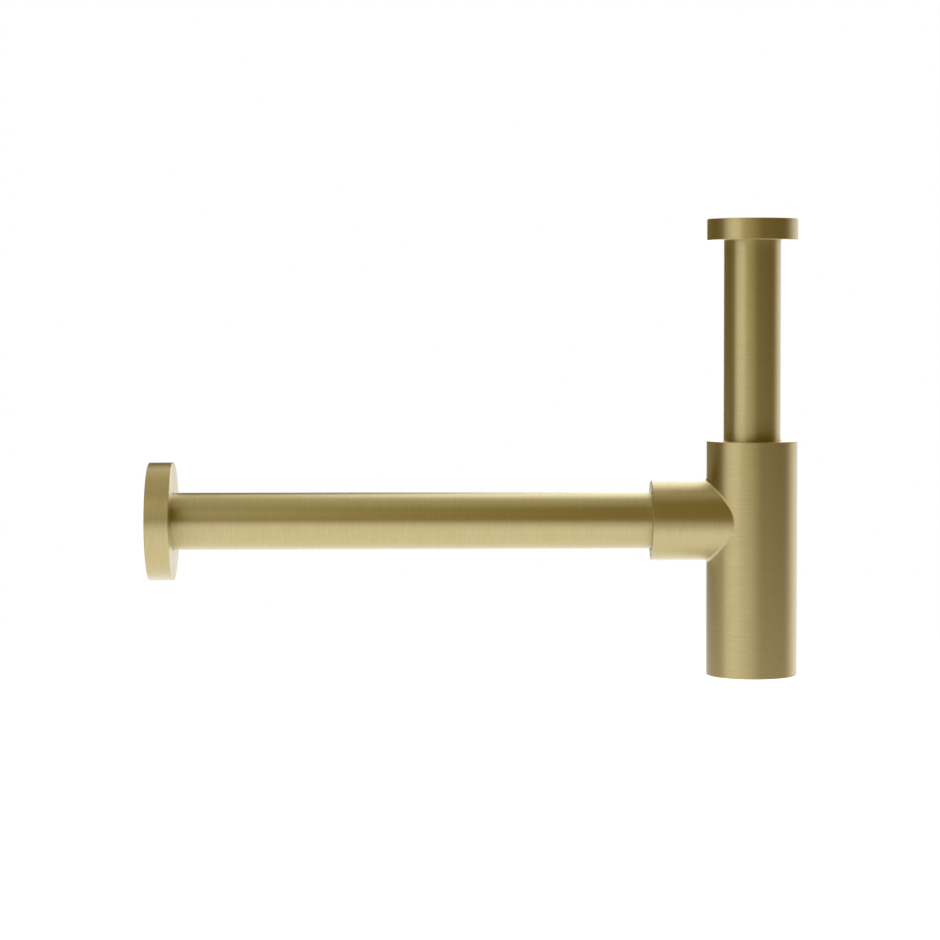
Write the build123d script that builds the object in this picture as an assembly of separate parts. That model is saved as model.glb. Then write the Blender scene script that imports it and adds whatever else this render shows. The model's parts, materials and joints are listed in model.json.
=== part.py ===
from build123d import *
from math import isclose
import os

# Round bottle trap for a wash basin: two 32 mm pipes, a bottle with a side outlet, and a wall flange.
# The origin is on the inlet axis, at the inner end of the nut's thread.
# +Z is up, and the outlet runs along -X to the wall. All sizes are in millimetres.

# Pipes
pipe_diameter = 32.0
pipe_wall = 1.0
pipe_bevel = 0.3
lip_diameter = 38.0
lip_thickness = 1.5
outlet_pipe_length = 300.0
pipe_past_seat = 3.0

# Union nut and what lies in it
nut_diameter = 51.0
nut_floor = 2.4
thread_diameter = 41.91
thread_length = 3.8
thread_mouth = 0.6
thread_relief = 0.4
washer_diameter = 38.5
washer_bore = 31.0
washer_thickness = 2.5
washer_drop = 0.3
nut_ring_thickness = 0.8

# Bottle and side stub
bottle_diameter = 51.0
bottle_wall = 2.5
bottle_length = 131.5
bottle_top_wall = 3.0
inlet_exposed = 112.1
outlet_drop = 44.5
water_seal = 50.0
stub_diameter = 45.0
stub_wall = 2.5
stub_reach = 56.7
saddle_fillet = 1.5

# Compression joints around the two pipes
inlet_gland_length = 8.0
outlet_gland_length = 7.0
gland_collar = 1.0
gland_mouth = 0.9
gland_slot_width = 3.0
gland_slot_depth = 2.0
gland_thread_depth = 0.9
slip_ring_thickness = 1.2
seal_height = 6.0
seal_taper = 2.0
seat_thickness = 3.0

# Clean-out plug
plug_head_diameter = 48.0
plug_head_height = 2.0
plug_thread_length = 6.0
plug_thread_depth = 0.9
plug_nose = 4.0
plug_floor = 5.0
plug_skirt = 2.2
plug_ring_section = 2.5
coin_slot_length = 30.0
coin_slot_width = 3.0
coin_slot_depth = 2.5

# Wall flange
pipe_end_recess = 1.5
flange_diameter = 66.0
flange_depth = 13.5
flange_wall = 1.6
flange_face = 2.0
flange_hub_wall = 1.4
flange_hub_depth = 8.0
flange_ring_section = 3.0

# Clearances and softened edges
pipe_clearance = 0.3
seat_clearance = 0.7
thread_clearance = 0.2
seal_clearance = 0.15
ring_play = 0.1
edge_break = 0.25

# Radii and heights that follow
pipe_radius = pipe_diameter / 2
pipe_bore = pipe_radius - pipe_wall
pipe_hole = pipe_radius + pipe_clearance
seat_hole = pipe_radius + seat_clearance
seal_bore = pipe_radius + seal_clearance
lip_top = -washer_drop - washer_thickness
lip_low = lip_top - lip_thickness
nut_floor_top = lip_low - nut_ring_thickness
nut_low = nut_floor_top - nut_floor
nut_top = thread_length + thread_mouth
bottle_radius = bottle_diameter / 2
bottle_bore = bottle_radius - bottle_wall
bottle_top = nut_low - inlet_exposed
bottle_low = bottle_top - bottle_length
inlet_thread = bottle_radius - bottle_top_wall
outlet_height = bottle_top - outlet_drop
pipe_foot = outlet_height - pipe_bore - water_seal
stub_radius = stub_diameter / 2
outlet_thread = stub_radius - stub_wall
plug_head_top = bottle_low + plug_head_height
plug_thread_top = plug_head_top + plug_thread_length
plug_top = plug_thread_top + plug_nose
plug_radius = bottle_bore - thread_clearance
plug_thread = plug_radius + plug_thread_depth
inlet_seat_depth = inlet_gland_length + slip_ring_thickness + seal_height
outlet_seat_depth = outlet_gland_length + slip_ring_thickness + seal_height
outlet_inner_end = stub_reach - outlet_seat_depth - seat_thickness - pipe_past_seat
outlet_wall_end = outlet_inner_end + outlet_pipe_length
wall_distance = outlet_wall_end + pipe_end_recess
flange_front = wall_distance - flange_depth

# Frame of the outlet: its local Z runs from the inlet axis to the wall
outlet = Pos(0, 0, outlet_height) * Rot(0, -90, 0)


def turned(*outline):
    """Solid turned about Z from the (radius, height) points of its outline."""
    section = Polyline(*((radius, 0, height) for radius, height in outline), close=True)
    return revolve(make_face(section), Axis.Z)


def tube(inner, outer, low, high):
    """Plain tube about Z."""
    return turned((inner, low), (outer, low), (outer, high), (inner, high))


def rims(part, radius, *heights):
    """Round edges about Z of this radius, at these heights."""
    return part.edges().filter_by(
        lambda edge: edge.geom_type == GeomType.CIRCLE
        and isclose(edge.radius, radius, abs_tol=1e-4)
        and any(isclose(edge.arc_center.Z, height, abs_tol=1e-4) for height in heights)
    )


def basin_nut():
    """Union nut: a threaded mouth, a relief that clears the pipe's lip, and a floor around the pipe."""
    radius = nut_diameter / 2
    thread = thread_diameter / 2
    relief = thread + thread_relief
    nut = turned(
        (pipe_hole, nut_low),
        (radius, nut_low),
        (radius, nut_top),
        (thread + thread_mouth, nut_top),
        (thread, thread_length),
        (thread, 0),
        (relief, 0),
        (relief, nut_floor_top),
        (pipe_hole, nut_floor_top),
    )
    return chamfer(rims(nut, radius, nut_low, nut_top), edge_break)


def basin_washer():
    """Flat washer on the pipe's lip."""
    return tube(washer_bore / 2, washer_diameter / 2, lip_top, lip_top + washer_thickness)


def nut_slip_ring():
    """Thin ring that lets the nut turn under the pipe's lip."""
    return tube(pipe_hole, lip_diameter / 2, nut_floor_top, lip_low)


def inlet_pipe():
    """Upright pipe with a turned lip on top, which reaches down into the bottle as its dip tube."""
    pipe = tube(pipe_bore, pipe_radius, pipe_foot, lip_top)
    pipe += tube(pipe_bore, lip_diameter / 2, lip_low, lip_top)
    return chamfer(rims(pipe, pipe_radius, pipe_foot), pipe_bevel)


def gland(thread, length):
    """Screwed compression ring below a face at height 0, with two spanner slots across it."""
    shank = thread - gland_thread_depth
    collar = thread - thread_clearance
    ring = turned(
        (pipe_hole, -length),
        (shank, -length),
        (shank, -gland_collar),
        (collar, -gland_collar),
        (collar, 0),
        (pipe_hole + gland_mouth, 0),
        (pipe_hole, -gland_mouth),
    )
    return ring - Box(gland_slot_width, 2 * thread, 2 * gland_slot_depth)


def slip_ring(thread, gland_length):
    """Ring between a gland and its seal."""
    top = -gland_length
    return tube(pipe_hole, thread - gland_thread_depth, top - slip_ring_thickness, top)


def seal(thread, gland_length):
    """Rubber ring on a seat, tapered towards its slip ring."""
    top = -gland_length - slip_ring_thickness
    low = top - seal_height
    radius = thread - seal_clearance
    return turned(
        (seal_bore, low),
        (radius, low),
        (radius, top - seal_taper),
        (radius - seal_taper, top),
        (seal_bore, top),
    )


def trap_body():
    """Bottle with its side stub: filleted saddle outside, seal seats and the plug's thread inside."""
    on_base = (Align.CENTER, Align.CENTER, Align.MIN)
    bottle = Pos(0, 0, bottle_low) * Cylinder(bottle_radius, bottle_length, align=on_base)
    stub = Cylinder(stub_radius, stub_reach, align=on_base)
    stub = chamfer(rims(stub, stub_radius, stub_reach), edge_break)
    bottle = chamfer(rims(bottle, bottle_radius, bottle_low, bottle_top), edge_break)
    body = bottle + outlet * stub
    saddle = body.edges().filter_by(
        lambda edge: edge.geom_type not in (GeomType.LINE, GeomType.CIRCLE)
    )
    body = fillet(saddle, saddle_fillet)

    inlet_seat = bottle_top - inlet_seat_depth
    plug_recess = plug_head_diameter / 2 + thread_clearance
    plug_hole = plug_thread + thread_clearance
    chamber = turned(
        (0, bottle_low),
        (plug_recess, bottle_low),
        (plug_recess, plug_head_top),
        (plug_hole, plug_head_top),
        (plug_hole, plug_thread_top),
        (bottle_bore, plug_thread_top),
        (bottle_bore, inlet_seat - seat_thickness),
        (seat_hole, inlet_seat - seat_thickness),
        (seat_hole, inlet_seat),
        (inlet_thread, inlet_seat),
        (inlet_thread, bottle_top),
        (0, bottle_top),
    )
    outlet_seat = stub_reach - outlet_seat_depth
    side_way = turned(
        (0, 0),
        (outlet_thread, 0),
        (outlet_thread, outlet_seat - seat_thickness),
        (seat_hole, outlet_seat - seat_thickness),
        (seat_hole, outlet_seat),
        (outlet_thread, outlet_seat),
        (outlet_thread, stub_reach),
        (0, stub_reach),
    )
    return body - chamber - outlet * side_way


def outlet_pipe():
    """Level pipe from the stub to the wall."""
    pipe = tube(pipe_bore, pipe_radius, outlet_inner_end, outlet_wall_end)
    return chamfer(rims(pipe, pipe_radius, outlet_inner_end, outlet_wall_end), pipe_bevel)


def flange_ring_middle():
    """Distance of the flange's O-ring from the inlet axis, half-way along the hub."""
    return flange_front + (flange_face + flange_hub_depth) / 2


def wall_flange():
    """Cup that covers the wall's hole, with a hub inside that holds an O-ring on the pipe."""
    radius = flange_diameter / 2
    hole = pipe_radius + pipe_clearance
    groove = pipe_radius + 2 * seal_clearance + flange_ring_section
    half_groove = flange_ring_section / 2 + ring_play
    hub = groove + flange_hub_wall
    cup = turned(
        (hole, flange_front),
        (radius, flange_front),
        (radius, wall_distance),
        (radius - flange_wall, wall_distance),
        (radius - flange_wall, flange_front + flange_face),
        (hub, flange_front + flange_face),
        (hub, flange_front + flange_hub_depth),
        (hole, flange_front + flange_hub_depth),
        (hole, flange_ring_middle() + half_groove),
        (groove, flange_ring_middle() + half_groove),
        (groove, flange_ring_middle() - half_groove),
        (hole, flange_ring_middle() - half_groove),
    )
    cup = chamfer(rims(cup, radius, flange_front, wall_distance), edge_break)
    return chamfer(rims(cup, hole, flange_front), edge_break)


def flange_o_ring():
    """Rubber ring in the flange's hub."""
    section = flange_ring_section / 2
    return Pos(0, 0, flange_ring_middle()) * Torus(seal_bore + section, section)


def plug_ring_middle():
    """Height of the plug's O-ring, half-way along the nose."""
    return plug_thread_top + plug_nose / 2


def bottom_plug():
    """Clean-out plug: a flush head with a coin slot, a screwed shank, and a hollow nose with a ring groove."""
    head = plug_head_diameter / 2
    groove = bottle_bore - 2 * seal_clearance - plug_ring_section
    half_groove = plug_ring_section / 2 + ring_play
    hollow = groove - plug_skirt
    plug = turned(
        (0, bottle_low),
        (head, bottle_low),
        (head, plug_head_top),
        (plug_radius, plug_head_top),
        (plug_radius, plug_ring_middle() - half_groove),
        (groove, plug_ring_middle() - half_groove),
        (groove, plug_ring_middle() + half_groove),
        (plug_radius, plug_ring_middle() + half_groove),
        (plug_radius, plug_top),
        (hollow, plug_top),
        (hollow, bottle_low + plug_floor),
        (0, bottle_low + plug_floor),
    )
    plug = chamfer(rims(plug, head, bottle_low), edge_break)
    slot = extrude(SlotOverall(coin_slot_length, coin_slot_width), coin_slot_depth)
    return plug - Pos(0, 0, bottle_low) * slot


def plug_o_ring():
    """Rubber ring around the plug's nose."""
    section = plug_ring_section / 2
    return Pos(0, 0, plug_ring_middle()) * Torus(bottle_bore - seal_clearance - section, section)


inlet_face = Pos(0, 0, bottle_top)
outlet_face = outlet * Pos(0, 0, stub_reach)

nodes = {
    "basin_nut": basin_nut(),
    "basin_washer": basin_washer(),
    "nut_slip_ring": nut_slip_ring(),
    "inlet_pipe": inlet_pipe(),
    "inlet_gland": inlet_face * gland(inlet_thread, inlet_gland_length),
    "inlet_slip_ring": inlet_face * slip_ring(inlet_thread, inlet_gland_length),
    "inlet_seal": inlet_face * seal(inlet_thread, inlet_gland_length),
    "trap_body": trap_body(),
    "outlet_gland": outlet_face * gland(outlet_thread, outlet_gland_length),
    "outlet_slip_ring": outlet_face * slip_ring(outlet_thread, outlet_gland_length),
    "outlet_seal": outlet_face * seal(outlet_thread, outlet_gland_length),
    "outlet_pipe": outlet * outlet_pipe(),
    "wall_flange": outlet * wall_flange(),
    "flange_o_ring": outlet * flange_o_ring(),
    "bottom_plug": bottom_plug(),
    "plug_o_ring": plug_o_ring(),
}

os.makedirs("parts", exist_ok=True)
for name, solid in nodes.items():
    export_step(solid, f"parts/{name}.step")
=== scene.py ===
import json
import math
from typing import NamedTuple

import bpy
from bpy.props import FloatProperty, FloatVectorProperty, PointerProperty
from mathutils import Euler, Matrix, Vector


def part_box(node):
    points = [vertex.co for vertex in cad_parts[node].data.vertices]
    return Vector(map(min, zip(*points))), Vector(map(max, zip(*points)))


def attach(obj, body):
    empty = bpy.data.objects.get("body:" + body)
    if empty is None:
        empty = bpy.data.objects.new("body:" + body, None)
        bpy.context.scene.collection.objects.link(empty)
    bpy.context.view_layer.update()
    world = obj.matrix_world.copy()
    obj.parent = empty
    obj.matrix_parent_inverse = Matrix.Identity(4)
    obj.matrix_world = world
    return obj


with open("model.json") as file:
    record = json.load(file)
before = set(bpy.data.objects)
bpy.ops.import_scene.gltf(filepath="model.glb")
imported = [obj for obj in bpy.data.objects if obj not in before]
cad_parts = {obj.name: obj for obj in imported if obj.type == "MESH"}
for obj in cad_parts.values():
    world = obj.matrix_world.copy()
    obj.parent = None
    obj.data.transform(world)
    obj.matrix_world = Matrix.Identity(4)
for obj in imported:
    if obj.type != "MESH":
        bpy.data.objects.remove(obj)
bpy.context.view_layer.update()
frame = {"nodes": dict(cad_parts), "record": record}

bl_info = {
    "name": "Bottle trap",
    "version": (1, 0, 0),
    "blender": (4, 5, 0),
    "location": "View3D > Sidebar > Bottle trap",
    "description": "Finishes, thread ridges and a studio for a round brushed brass bottle trap",
    "category": "Object",
}

MM = 0.001


class Axis(NamedTuple):
    """An axis that pieces are turned about: the place and the turn of a frame whose Z runs along it."""

    place: tuple
    turn: tuple

    def matrix(self):
        return Matrix.Translation(self.place) @ Euler(self.turn).to_matrix().to_4x4()


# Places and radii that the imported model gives, in metres
mounts = {mount["name"]: mount for mount in frame["record"]["mounts"]}
outlet_pipe_low, outlet_pipe_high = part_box("outlet_pipe")
outlet_height = (outlet_pipe_low.z + outlet_pipe_high.z) / 2
bottle_low, bottle_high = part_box("trap_body")
bottle_radius = bottle_high.x
bottle_bottom = bottle_low.z

# The inlet's axis points up, and the outlet's from the bottle to the wall
inlet_axis = Axis(place=(0, 0, 0), turn=(0, 0, 0))
outlet_axis = Axis(place=(0, 0, outlet_height), turn=(0, math.radians(-90), 0))

inlet_brass = ("basin_nut", "inlet_pipe", "inlet_gland", "bottom_plug")
outlet_brass = ("outlet_gland", "outlet_pipe", "wall_flange")
rubber_rings = ("basin_washer", "inlet_seal", "outlet_seal", "flange_o_ring", "plug_o_ring")
nylon_rings = ("nut_slip_ring", "inlet_slip_ring", "outlet_slip_ring")

around_inlet = "Brass brushed around the inlet"
around_outlet = "Brass brushed around the outlet"
around_both = "Brass brushed around bottle and stub"


def from_hex(colour):
    """Linear RGBA of an sRGB hex colour."""
    parts = [int(colour[i:i + 2], 16) / 255 for i in (1, 3, 5)]
    linear = [p / 12.92 if p <= 0.04045 else ((p + 0.055) / 1.055) ** 2.4 for p in parts]
    return (*linear, 1.0)


class BrassFinish(bpy.types.PropertyGroup):
    """Brushed brass of the pipes, bottle, nut, glands, plug and flange."""

    light: FloatVectorProperty(
        name="Brass", description="Colour of the brushed brass",
        subtype="COLOR", size=4, min=0, max=1, default=from_hex("#BCAD7C"))
    dark: FloatVectorProperty(
        name="Brush line", description="Colour in the bottom of a brush line",
        subtype="COLOR", size=4, min=0, max=1, default=from_hex("#B2A26F"))
    # Real brush lines are about 0.05 mm apart. That is too fine to show, so they are drawn coarser.
    line_spacing: FloatProperty(
        name="Line spacing", description="Distance between brush lines, drawn coarser than the real ones",
        unit="LENGTH", default=0.45 * MM, min=0.05 * MM)
    line_length: FloatProperty(
        name="Line length", description="Typical length of a brush line around the piece",
        unit="LENGTH", default=9 * MM, min=1 * MM)
    line_depth: FloatProperty(
        name="Line depth", description="Depth of a brush line",
        unit="LENGTH", default=0.0015 * MM, min=0)
    roughness_low: FloatProperty(
        name="Lowest roughness", description="Roughness between brush lines",
        subtype="FACTOR", default=0.36, min=0, max=1)
    roughness_high: FloatProperty(
        name="Highest roughness", description="Roughness in brush lines",
        subtype="FACTOR", default=0.40, min=0, max=1)
    stretch: FloatProperty(
        name="Stretch", description="How far reflections stretch across the brush lines",
        subtype="FACTOR", default=0.75, min=0, max=1)
    coat_roughness: FloatProperty(
        name="Coat roughness", description="Roughness of the clear coat",
        subtype="FACTOR", default=0.35, min=0, max=1)


class RubberFinish(bpy.types.PropertyGroup):
    """Moulded rubber of the seals, the washer and the O-rings."""

    body: FloatVectorProperty(
        name="Rubber", description="Colour of the rubber",
        subtype="COLOR", size=4, min=0, max=1, default=from_hex("#1B1B1C"))
    mark: FloatVectorProperty(
        name="Bloom", description="Colour of the paler bloom on the rubber",
        subtype="COLOR", size=4, min=0, max=1, default=from_hex("#2C2C2D"))
    mark_size: FloatProperty(
        name="Bloom size", description="Width of a patch of bloom",
        unit="LENGTH", default=4 * MM, min=0.1 * MM)
    # A real mould's grain is about 0.1 mm wide. That is too fine to show, so it is drawn coarser.
    grain_size: FloatProperty(
        name="Mould grain", description="Width of the mould's grain, drawn coarser than the real one",
        unit="LENGTH", default=0.5 * MM, min=0.05 * MM)
    grain_depth: FloatProperty(
        name="Grain depth", description="Depth of the mould's grain",
        unit="LENGTH", default=0.01 * MM, min=0)
    roughness: FloatProperty(
        name="Roughness", description="Middle roughness of the rubber",
        subtype="FACTOR", default=0.62, min=0, max=1)


class NylonFinish(bpy.types.PropertyGroup):
    """Moulded nylon of the slip rings."""

    body: FloatVectorProperty(
        name="Nylon", description="Colour of the nylon",
        subtype="COLOR", size=4, min=0, max=1, default=from_hex("#EDEAE0"))
    mark: FloatVectorProperty(
        name="Flow mark", description="Colour of the slightly darker flow marks",
        subtype="COLOR", size=4, min=0, max=1, default=from_hex("#DEDACB"))
    mark_size: FloatProperty(
        name="Flow mark size", description="Width of a flow mark",
        unit="LENGTH", default=6 * MM, min=0.1 * MM)
    # The grain is drawn coarser here too
    grain_size: FloatProperty(
        name="Mould grain", description="Width of the mould's grain, drawn coarser than the real one",
        unit="LENGTH", default=0.5 * MM, min=0.05 * MM)
    grain_depth: FloatProperty(
        name="Grain depth", description="Depth of the mould's grain",
        unit="LENGTH", default=0.004 * MM, min=0)
    roughness: FloatProperty(
        name="Roughness", description="Middle roughness of the nylon",
        subtype="FACTOR", default=0.42, min=0, max=1)


class ThreadSizes(bpy.types.PropertyGroup):
    """Screw threads of the nut, the glands and the plug."""

    basin_pitch: FloatProperty(
        name="Basin pitch", description="Pitch of the nut's pipe thread",
        unit="LENGTH", default=2.309 * MM, min=0.2 * MM)
    basin_depth: FloatProperty(
        name="Basin depth", description="Depth of the nut's pipe thread",
        unit="LENGTH", default=1.479 * MM, min=0.1 * MM)
    gland_pitch: FloatProperty(
        name="Gland pitch", description="Pitch of the glands' and the plug's threads",
        unit="LENGTH", default=1.5 * MM, min=0.2 * MM)
    ridge_height: FloatProperty(
        name="Ridge height", description="Height of a ridge on the glands and the plug",
        unit="LENGTH", default=0.75 * MM, min=0.05 * MM)
    gap: FloatProperty(
        name="Gap", description="Distance from a gland's shank to the bore that it is screwed into",
        unit="LENGTH", default=0.9 * MM, min=0.1 * MM)
    slot_depth: FloatProperty(
        name="Slot depth", description="Depth of the glands' spanner slots, which the ridges stay under",
        unit="LENGTH", default=2.2 * MM, min=0)
    plug_shank: FloatProperty(
        name="Plug shank", description="Radius of the plug's shank",
        unit="LENGTH", default=22.8 * MM, min=1 * MM)
    plug_gap: FloatProperty(
        name="Plug gap", description="Distance from the plug's shank to its hole",
        unit="LENGTH", default=1.1 * MM, min=0.1 * MM)
    plug_low: FloatProperty(
        name="Plug thread from", description="Height of the thread's foot above the bottle's bottom",
        unit="LENGTH", default=2 * MM, min=0)
    plug_high: FloatProperty(
        name="Plug thread to", description="Height of the thread's top above the bottle's bottom",
        unit="LENGTH", default=8 * MM, min=0)


class Studio(bpy.types.PropertyGroup):
    """Floor, light tent and camera."""

    floor_drop: FloatProperty(
        name="Floor drop", description="Distance from the bottle's bottom down to the floor",
        unit="LENGTH", default=0.32, min=0)
    floor_reach: FloatProperty(
        name="Floor reach", description="Distance from the inlet's axis to each edge of the floor",
        unit="LENGTH", default=3.0, min=0.1)
    floor_colour: FloatVectorProperty(
        name="Floor", description="Colour of the floor",
        subtype="COLOR", size=4, min=0, max=1, default=from_hex("#E8E8E8"))
    floor_lift: FloatProperty(
        name="Floor lift", description="How much paler the floor shows than it is lit, to be white",
        default=0.62, min=0)
    ambient: FloatProperty(
        name="Ambient", description="Light that the white surroundings give to matt surfaces",
        default=0.85, min=0)
    tent_radius: FloatProperty(
        name="Tent radius", description="Distance from where the two axes cross to the first board",
        unit="LENGTH", default=0.86, min=0.4)
    board_gap: FloatProperty(
        name="Board gap", description="Distance from each board to the next one behind it",
        unit="LENGTH", default=5 * MM, min=1 * MM)
    camera_place: FloatVectorProperty(
        name="Camera", description="Place of the camera",
        subtype="TRANSLATION", unit="LENGTH", default=(-0.1645, -1.6378, -0.0478))
    camera_turn: FloatVectorProperty(
        name="Camera turn", description="Turn to the right, tilt and roll of the camera",
        subtype="EULER", default=[math.radians(angle) for angle in (0.22, -3.07, -0.12)])
    lens: FloatProperty(
        name="Lens", description="Focal length of the camera in millimetres",
        default=112.0, min=10)


def add_node(tree, kind, settings=None, inputs=None):
    """A new node with its settings, and its inputs set to values or linked to sockets."""
    node = tree.nodes.new(kind)
    for name, value in (settings or {}).items():
        setattr(node, name, value)
    for key, value in (inputs or {}).items():
        if isinstance(value, bpy.types.NodeSocket):
            tree.links.new(value, node.inputs[key])
        else:
            node.inputs[key].default_value = value
    return node


def new_material(name):
    """An empty node material."""
    material = bpy.data.materials.new(name)
    material.use_nodes = True
    material.node_tree.nodes.clear()
    return material, material.node_tree


def place_on_axis(tree, axis):
    """Place on a piece, with local Z along the axis that the piece was turned about."""
    place = add_node(tree, "ShaderNodeTexCoord").outputs["Object"]
    return add_node(
        tree, "ShaderNodeMapping", {"vector_type": "TEXTURE"},
        {"Vector": place, "Location": axis.place, "Rotation": axis.turn}).outputs["Vector"]


def brush_lines(tree, place, finish):
    """Noise drawn out around local Z, so that it runs in rings on walls and on end faces."""
    parts = add_node(tree, "ShaderNodeSeparateXYZ", inputs={"Vector": place})
    flat = add_node(
        tree, "ShaderNodeCombineXYZ", inputs={"X": parts.outputs["X"], "Y": parts.outputs["Y"]})
    radius = add_node(tree, "ShaderNodeVectorMath", {"operation": "LENGTH"}, {0: flat.outputs["Vector"]})
    around = add_node(
        tree, "ShaderNodeVectorMath", {"operation": "SCALE"},
        {0: flat.outputs["Vector"], "Scale": 1 / finish.line_length})
    across = add_node(
        tree, "ShaderNodeMath", {"operation": "ADD"}, {0: parts.outputs["Z"], 1: radius.outputs["Value"]})
    steps = add_node(
        tree, "ShaderNodeMath", {"operation": "MULTIPLY"},
        {0: across.outputs["Value"], 1: 1 / finish.line_spacing})
    rise = add_node(tree, "ShaderNodeCombineXYZ", inputs={"Z": steps.outputs["Value"]})
    line_place = add_node(
        tree, "ShaderNodeVectorMath", {"operation": "ADD"},
        {0: around.outputs["Vector"], 1: rise.outputs["Vector"]})
    noise = add_node(
        tree, "ShaderNodeTexNoise", {"noise_dimensions": "3D"},
        {"Vector": line_place.outputs["Vector"], "Scale": 1.0, "Detail": 3.0, "Roughness": 0.65})
    return noise.outputs["Fac"]


def brush_direction(tree, place, axis):
    """Direction of the brush lines in the world: around the axis."""
    local = add_node(
        tree, "ShaderNodeVectorMath", {"operation": "CROSS_PRODUCT"}, {0: (0, 0, 1), 1: place})
    turned = add_node(
        tree, "ShaderNodeMapping", {"vector_type": "VECTOR"},
        {"Vector": local.outputs["Vector"], "Rotation": axis.turn})
    in_world = add_node(
        tree, "ShaderNodeVectorTransform",
        {"vector_type": "VECTOR", "convert_from": "OBJECT", "convert_to": "WORLD"},
        {"Vector": turned.outputs["Vector"]})
    return add_node(
        tree, "ShaderNodeVectorMath", {"operation": "NORMALIZE"},
        {0: in_world.outputs["Vector"]}).outputs["Vector"]


def share_of_stub(tree):
    """Zero on the bottle and one on its stub, with a short change along the saddle between them."""
    saddle_start, saddle_end = 0.1 * MM, 0.9 * MM
    place = add_node(tree, "ShaderNodeTexCoord").outputs["Object"]
    flat = add_node(tree, "ShaderNodeVectorMath", {"operation": "MULTIPLY"}, {0: place, 1: (1, 1, 0)})
    distance = add_node(tree, "ShaderNodeVectorMath", {"operation": "LENGTH"}, {0: flat.outputs["Vector"]})
    return add_node(
        tree, "ShaderNodeMapRange", {"interpolation_type": "SMOOTHSTEP"},
        {"Value": distance.outputs["Value"], "From Min": bottle_radius + saddle_start,
         "From Max": bottle_radius + saddle_end}).outputs["Result"]


def brushed_brass(name, *axes):
    """Brass turned on a lathe, brushed in rings around one axis, or around the bottle's and the stub's."""
    finish = bpy.context.scene.trap_brass
    # Most of the noise lies between these two values
    noise_low, noise_high = 0.3, 0.7
    quarter_turn = 0.25
    material, tree = new_material(name)
    places = [place_on_axis(tree, axis) for axis in axes]
    lines = [brush_lines(tree, place, finish) for place in places]
    directions = [brush_direction(tree, place, axis) for place, axis in zip(places, axes)]
    line, direction = lines[0], directions[0]
    if len(axes) > 1:
        on_stub = share_of_stub(tree)
        line = add_node(
            tree, "ShaderNodeMix", {"data_type": "FLOAT"},
            {"Factor": on_stub, 2: lines[0], 3: lines[1]}).outputs[0]
        direction = add_node(
            tree, "ShaderNodeMix", {"data_type": "VECTOR"},
            {"Factor": on_stub, 4: directions[0], 5: directions[1]}).outputs[1]
    height = add_node(
        tree, "ShaderNodeMapRange", {},
        {"Value": line, "From Min": noise_low, "From Max": noise_high}).outputs["Result"]
    colour = add_node(
        tree, "ShaderNodeMix", {"data_type": "RGBA"},
        {"Factor": height, 6: finish.dark, 7: finish.light}).outputs[2]
    roughness = add_node(
        tree, "ShaderNodeMapRange", {},
        {"Value": height, "To Min": finish.roughness_high, "To Max": finish.roughness_low}).outputs["Result"]
    bump = add_node(
        tree, "ShaderNodeBump", {}, {"Height": height, "Distance": finish.line_depth, "Strength": 1.0})
    shader = add_node(
        tree, "ShaderNodeBsdfPrincipled", {},
        {"Base Color": colour, "Metallic": 1.0, "Roughness": roughness, "Anisotropic": finish.stretch,
         "Anisotropic Rotation": quarter_turn, "Tangent": direction, "Normal": bump.outputs["Normal"],
         "Coat Weight": 1.0, "Coat Roughness": finish.coat_roughness})
    add_node(tree, "ShaderNodeOutputMaterial", {}, {"Surface": shader.outputs["BSDF"]})
    return material


def moulded(name, finish):
    """Rubber or nylon from a mould: an even sheen with faint clouding and the mould's fine grain."""
    roughness_spread = 0.08
    material, tree = new_material(name)
    place = add_node(tree, "ShaderNodeTexCoord").outputs["Object"]
    clouds = add_node(
        tree, "ShaderNodeTexNoise", {},
        {"Vector": place, "Scale": 1 / finish.mark_size, "Detail": 2.0}).outputs["Fac"]
    grain = add_node(
        tree, "ShaderNodeTexNoise", {},
        {"Vector": place, "Scale": 1 / finish.grain_size, "Detail": 2.0}).outputs["Fac"]
    colour = add_node(
        tree, "ShaderNodeMix", {"data_type": "RGBA"},
        {"Factor": clouds, 6: finish.body, 7: finish.mark}).outputs[2]
    roughness = add_node(
        tree, "ShaderNodeMapRange", {},
        {"Value": grain, "To Min": finish.roughness - roughness_spread,
         "To Max": finish.roughness + roughness_spread}).outputs["Result"]
    bump = add_node(
        tree, "ShaderNodeBump", {}, {"Height": grain, "Distance": finish.grain_depth, "Strength": 1.0})
    shader = add_node(
        tree, "ShaderNodeBsdfPrincipled", {},
        {"Base Color": colour, "Roughness": roughness, "Normal": bump.outputs["Normal"]})
    add_node(tree, "ShaderNodeOutputMaterial", {}, {"Surface": shader.outputs["BSDF"]})
    return material


def dress(nodes, material):
    """Gives a material to CAD nodes."""
    for name in nodes:
        slots = frame["nodes"][name].data.materials
        slots.clear()
        slots.append(material)


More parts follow.
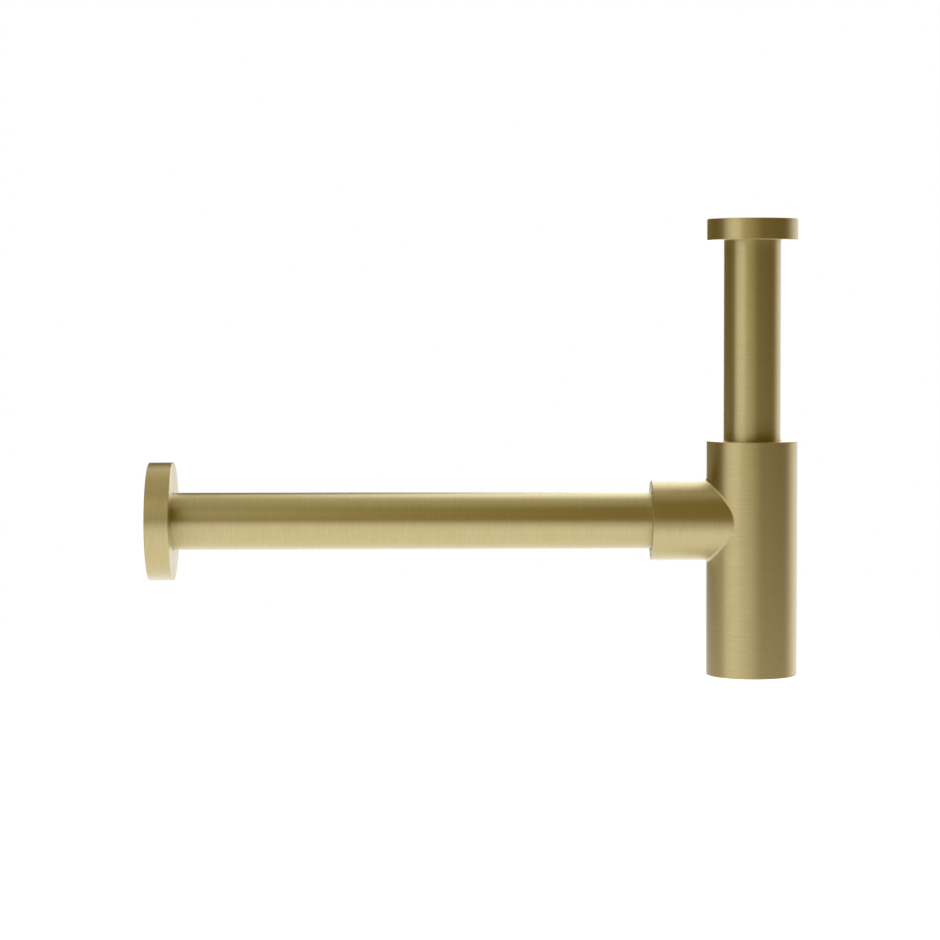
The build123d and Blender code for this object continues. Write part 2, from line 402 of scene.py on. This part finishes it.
def helical_ridge(name, axis, root, crest, pitch, low, high):
    """A right-hand V ridge around an axis, from a root radius to a crest radius, between two heights.

    Outer and inner ridges of one pitch lie half a pitch apart, so that they run between each other."""
    steps_per_turn = 96
    run_out_turns = 0.25
    least_rise = 0.02
    bite = 0.1 * MM
    crease = math.radians(30)
    outer = crest > root
    root_half, crest_half = 0.4 * pitch, 0.08 * pitch
    sunk = root - math.copysign(bite, crest - root)
    start, end = low + root_half, high - root_half
    turns = (end - start) / pitch
    steps = math.ceil(turns * steps_per_turn)
    verts, faces = [], []
    for i in range(steps + 1):
        along = i / steps * turns
        height = start + along * pitch
        angle = 2 * math.pi * height / pitch + (0 if outer else math.pi)
        rise = min(1, along / run_out_turns, (turns - along) / run_out_turns)
        top = root + (crest - root) * max(rise, least_rise)
        section = (
            (sunk, -root_half), (root, -root_half), (top, -crest_half),
            (top, crest_half), (root, root_half), (sunk, root_half),
        )
        for radius, offset in section:
            verts.append((radius * math.cos(angle), radius * math.sin(angle), height + offset))
    count = len(section)
    for i in range(steps):
        for k in range(count):
            a = i * count + k
            b = i * count + (k + 1) % count
            faces.append((a, b, b + count, a + count))
    faces.append(tuple(range(count)))
    faces.append(tuple(steps * count + k for k in reversed(range(count))))
    if outer:
        faces = [tuple(reversed(face)) for face in faces]
    mesh = bpy.data.meshes.new(name)
    mesh.from_pydata(verts, [], faces)
    mesh.transform(axis.matrix())
    mesh.shade_smooth()
    mesh.set_sharp_from_angle(angle=crease)
    ridge = bpy.data.objects.new(name, mesh)
    bpy.context.scene.collection.objects.link(ridge)
    return ridge


class TRAP_OT_brass(bpy.types.Operator):
    """Gives the turned brass pieces their brushed finish"""

    bl_idname = "trap.brass"
    bl_label = "Brush the brass pieces"

    def execute(self, context):
        # To the eye it is a satin pale gold. The brushed rings draw reflections out along each piece, and
        # the clear coat makes its edges paler.
        dress(inlet_brass, brushed_brass(around_inlet, inlet_axis))
        dress(outlet_brass, brushed_brass(around_outlet, outlet_axis))
        dress(("trap_body",), brushed_brass(around_both, inlet_axis, outlet_axis))
        return {"FINISHED"}


class TRAP_OT_rubber(bpy.types.Operator):
    """Gives the seals, the washer and the O-rings their rubber"""

    bl_idname = "trap.rubber"
    bl_label = "Finish the rubber rings"

    def execute(self, context):
        # To the eye it is matt and near black, with a faint grey bloom
        dress(rubber_rings, moulded("EPDM rubber moulded", context.scene.trap_rubber))
        return {"FINISHED"}


class TRAP_OT_nylon(bpy.types.Operator):
    """Gives the slip rings their nylon"""

    bl_idname = "trap.nylon"
    bl_label = "Finish the nylon rings"

    def execute(self, context):
        # To the eye it is a waxy off-white with faint flow marks
        dress(nylon_rings, moulded("Nylon moulded", context.scene.trap_nylon))
        return {"FINISHED"}


class TRAP_OT_threads(bpy.types.Operator):
    """Adds the ridges of the screw threads"""

    bl_idname = "trap.threads"
    bl_label = "Cut the threads"

    def execute(self, context):
        sizes = context.scene.trap_threads
        self.nut(sizes)

        low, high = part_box("inlet_gland")
        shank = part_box("inlet_slip_ring")[1].x
        self.pair(
            "inlet_gland_thread", "inlet_gland", "bottle_top_thread", around_inlet, inlet_axis,
            shank, shank + sizes.gap, low.z, high.z - sizes.slot_depth)

        low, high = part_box("outlet_gland")
        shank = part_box("outlet_slip_ring")[1].y
        self.pair(
            "outlet_gland_thread", "outlet_gland", "stub_thread", around_outlet, outlet_axis,
            shank, shank + sizes.gap, -high.x, -low.x - sizes.slot_depth)

        self.pair(
            "plug_thread", "plug", "bottle_foot_thread", around_inlet, inlet_axis,
            sizes.plug_shank, sizes.plug_shank + sizes.plug_gap,
            bottle_bottom + sizes.plug_low, bottle_bottom + sizes.plug_high)
        return {"FINISHED"}

    def nut(self, sizes):
        """The pipe thread in the nut, which the basin's tail is screwed into."""
        basin = mounts["basin_thread"]
        root = basin["dims"]["r_mm"] * MM
        low = basin["pos_m"][2]
        high = low + basin["dims"]["length_mm"] * MM
        self.ridge(
            "nut_thread", "nut", around_inlet, inlet_axis,
            root, root - sizes.basin_depth, sizes.basin_pitch, low, high)

    def pair(self, outer, outer_body, inner, finish, axis, shank, bore, low, high):
        """The ridge on a screwed shank, and the ridge in the bottle's or the stub's bore around it."""
        sizes = bpy.context.scene.trap_threads
        rise, pitch = sizes.ridge_height, sizes.gland_pitch
        self.ridge(outer, outer_body, finish, axis, shank, shank + rise, pitch, low, high)
        self.ridge(inner, "bottle", finish, axis, bore, bore - rise, pitch, low, high)

    @staticmethod
    def ridge(name, body, finish, axis, root, crest, pitch, low, high):
        """A thread's ridge that moves with its body and has its body's finish."""
        ridge = helical_ridge(name, axis, root, crest, pitch, low, high)
        ridge.data.materials.append(bpy.data.materials[finish])
        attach(ridge, body)


class Board(NamedTuple):
    """A board of the light tent, seen from the bottle at the outlet's height. Angles are in degrees.

    Left and right are measured from the camera's side towards its right, and low and high upwards. Each
    blur is the width of the soft edge there. A board without side blur goes all the way around."""

    name: str
    cloth: str
    glow: float
    left: float
    right: float
    side_blur: float
    low: float
    low_blur: float
    high: float
    high_blur: float


# The first board hangs nearest. The flags make the dark bands of the upright pieces, the key strip their
# bright band, the rim light the pale edges, the scrim the dark band along the level pieces, and the ceiling
# the soft light on what faces up.
tent_boards = (
    Board("right_flag", cloth="#735F10", glow=1.0, left=0, right=105, side_blur=40,
          low=-20, low_blur=40, high=70, high_blur=20),
    Board("left_flag", cloth="#715D10", glow=1.0, left=-170, right=-78, side_blur=20,
          low=-15, low_blur=35, high=40, high_blur=15),
    Board("key_strip", cloth="#FFFFFB", glow=1.45, left=-56, right=-36, side_blur=30,
          low=10, low_blur=25, high=40, high_blur=20),
    Board("rim_light", cloth="#FCFFFF", glow=1.9, left=156, right=212, side_blur=10,
          low=-15, low_blur=60, high=75, high_blur=60),
    Board("front_scrim", cloth="#A28E19", glow=1.0, left=-38, right=40, side_blur=35,
          low=1, low_blur=5, high=55, high_blur=20),
    Board("ceiling", cloth="#D8D1B8", glow=1.0, left=-180, right=180, side_blur=0,
          low=20, low_blur=10, high=95, high_blur=1),
)


def ramp(value, middle, width):
    """Smooth step from 0 to 1 over a width around a middle."""
    t = min(1.0, max(0.0, (value - middle) / width + 0.5))
    return t * t * (3 - 2 * t)


class TRAP_OT_studio(bpy.types.Operator):
    """Builds the floor, the light tent and the camera"""

    bl_idname = "trap.studio"
    bl_label = "Build the studio"

    def execute(self, context):
        scene = context.scene
        studio = scene.trap_studio
        scene.view_settings.view_transform = "Standard"
        self.surround(scene, studio)
        self.floor(scene, studio)
        for number, board in enumerate(tent_boards):
            self.hang(scene, board, studio.tent_radius + number * studio.board_gap)
        self.camera(scene, studio)
        return {"FINISHED"}

    @staticmethod
    def seen_directly(tree):
        """One for camera, glossy and transmission rays, which find white all around, and zero for others."""
        path = add_node(tree, "ShaderNodeLightPath")
        glossy = add_node(
            tree, "ShaderNodeMath", {"operation": "MAXIMUM"},
            {0: path.outputs["Is Camera Ray"], 1: path.outputs["Is Glossy Ray"]})
        return add_node(
            tree, "ShaderNodeMath", {"operation": "MAXIMUM"},
            {0: glossy.outputs["Value"], 1: path.outputs["Is Transmission Ray"]}).outputs["Value"]

    def surround(self, scene, studio):
        """White surroundings."""
        world = bpy.data.worlds.new("White surroundings")
        world.use_nodes = True
        tree = world.node_tree
        tree.nodes.clear()
        strength = add_node(
            tree, "ShaderNodeMapRange", {},
            {"Value": self.seen_directly(tree), "To Min": studio.ambient, "To Max": 1.0})
        background = add_node(
            tree, "ShaderNodeBackground", {},
            {"Color": from_hex("#FFFFFF"), "Strength": strength.outputs["Result"]})
        add_node(tree, "ShaderNodeOutputWorld", {}, {"Surface": background.outputs["Background"]})
        scene.world = world

    def floor(self, scene, studio):
        """Plain pale floor, which can be looked through from below."""
        reach = studio.floor_reach
        height = bottle_bottom - studio.floor_drop
        corners = [(x * reach, y * reach, height) for x, y in ((-1, -1), (1, -1), (1, 1), (-1, 1))]
        mesh = bpy.data.meshes.new("floor")
        mesh.from_pydata(corners, [], [(0, 1, 2, 3)])
        floor = bpy.data.objects.new("floor", mesh)
        scene.collection.objects.link(floor)
        # Matt paint, which gives the eye an even white
        material, tree = new_material("Painted studio floor")
        paint = add_node(tree, "ShaderNodeBsdfDiffuse", {}, {"Color": studio.floor_colour})
        lift = add_node(
            tree, "ShaderNodeMath", {"operation": "MULTIPLY"},
            {0: self.seen_directly(tree), 1: studio.floor_lift})
        glow = add_node(tree, "ShaderNodeEmission", {}, {"Strength": lift.outputs["Value"]})
        lit = add_node(
            tree, "ShaderNodeAddShader", {}, {0: paint.outputs["BSDF"], 1: glow.outputs["Emission"]})
        clear = add_node(tree, "ShaderNodeBsdfTransparent")
        from_below = add_node(tree, "ShaderNodeNewGeometry").outputs["Backfacing"]
        both = add_node(
            tree, "ShaderNodeMixShader", {},
            {"Fac": from_below, 1: lit.outputs["Shader"], 2: clear.outputs["BSDF"]})
        add_node(tree, "ShaderNodeOutputMaterial", {}, {"Surface": both.outputs["Shader"]})
        mesh.materials.append(material)

    @staticmethod
    def hang(scene, board, radius):
        """Hangs a curved board with soft edges around the bottle, which only reflections show."""
        columns, rows = 96, 64
        lowest, highest = -89, 90
        centre = Vector(outlet_axis.place)
        bottom = max(lowest, board.low - board.low_blur / 2)
        top = min(highest, board.high + board.high_blur / 2)
        start = board.left - board.side_blur / 2
        end = board.right + board.side_blur / 2
        verts, cover = [], []
        for row in range(rows + 1):
            elevation = bottom + (top - bottom) * row / rows
            level = radius * math.cos(math.radians(elevation))
            rise = radius * math.sin(math.radians(elevation))
            upright = ramp(elevation, board.low, board.low_blur)
            upright *= 1 - ramp(elevation, board.high, board.high_blur)
            for column in range(columns + 1):
                azimuth = start + (end - start) * column / columns
                angle = math.radians(azimuth)
                verts.append(centre + Vector((level * math.sin(angle), -level * math.cos(angle), rise)))
                inside = min(azimuth - board.left, board.right - azimuth)
                across = ramp(inside, 0, board.side_blur) if board.side_blur else 1.0
                cover.append(across * upright)
        faces = []
        for row in range(rows):
            for column in range(columns):
                a = row * (columns + 1) + column
                faces.append((a, a + 1, a + columns + 2, a + columns + 1))
        mesh = bpy.data.meshes.new(board.name)
        mesh.from_pydata(verts, [], faces)
        mesh.attributes.new("cover", "FLOAT", "POINT").data.foreach_set("value", cover)
        hung = bpy.data.objects.new(board.name, mesh)
        scene.collection.objects.link(hung)
        hung.visible_camera = False
        hung.visible_diffuse = False
        hung.visible_shadow = False
        # Lit cloth, which gives the eye an even tone with soft edges in the brass
        material, tree = new_material(board.name + " cloth")
        soft = add_node(tree, "ShaderNodeAttribute", {"attribute_name": "cover"})
        glow = add_node(
            tree, "ShaderNodeEmission", {}, {"Color": from_hex(board.cloth), "Strength": board.glow})
        clear = add_node(tree, "ShaderNodeBsdfTransparent")
        cloth = add_node(
            tree, "ShaderNodeMixShader", {},
            {"Fac": soft.outputs["Fac"], 1: clear.outputs["BSDF"], 2: glow.outputs["Emission"]})
        add_node(tree, "ShaderNodeOutputMaterial", {}, {"Surface": cloth.outputs["Shader"]})
        mesh.materials.append(material)

    @staticmethod
    def camera(scene, studio):
        """Camera a little below the nut, looking slightly down."""
        data = bpy.data.cameras.new("camera")
        data.lens = studio.lens
        camera = bpy.data.objects.new("camera", data)
        turn, tilt, roll = studio.camera_turn
        camera.matrix_world = (
            Matrix.Translation(studio.camera_place)
            @ Matrix.Rotation(-turn, 4, "Z")
            @ Matrix.Rotation(math.radians(90) + tilt, 4, "X")
            @ Matrix.Rotation(roll, 4, "Z")
        )
        scene.collection.objects.link(camera)
        scene.camera = camera


class TRAP_PT_sidebar(bpy.types.Panel):
    """Bottle trap in the 3D view's sidebar"""

    bl_label = "Bottle trap"
    bl_space_type = "VIEW_3D"
    bl_region_type = "UI"
    bl_category = "Bottle trap"

    def draw(self, context):
        for name, group in groups:
            box = self.layout.box()
            for setting in group.__annotations__:
                box.prop(getattr(context.scene, name), setting)
        for operator in operators:
            self.layout.operator(operator.bl_idname)


groups = (
    ("trap_brass", BrassFinish),
    ("trap_rubber", RubberFinish),
    ("trap_nylon", NylonFinish),
    ("trap_threads", ThreadSizes),
    ("trap_studio", Studio),
)
operators = (TRAP_OT_brass, TRAP_OT_rubber, TRAP_OT_nylon, TRAP_OT_threads, TRAP_OT_studio)


def register():
    for name, group in groups:
        bpy.utils.register_class(group)
        setattr(bpy.types.Scene, name, PointerProperty(type=group))
    for cls in (*operators, TRAP_PT_sidebar):
        bpy.utils.register_class(cls)


def unregister():
    for cls in reversed((*operators, TRAP_PT_sidebar)):
        bpy.utils.unregister_class(cls)
    for name, group in reversed(groups):
        delattr(bpy.types.Scene, name)
        bpy.utils.unregister_class(group)


def main():
    register()
    bpy.ops.trap.brass()
    bpy.ops.trap.rubber()
    bpy.ops.trap.nylon()
    bpy.ops.trap.threads()
    bpy.ops.trap.studio()


if __name__ == "__main__":
    main()
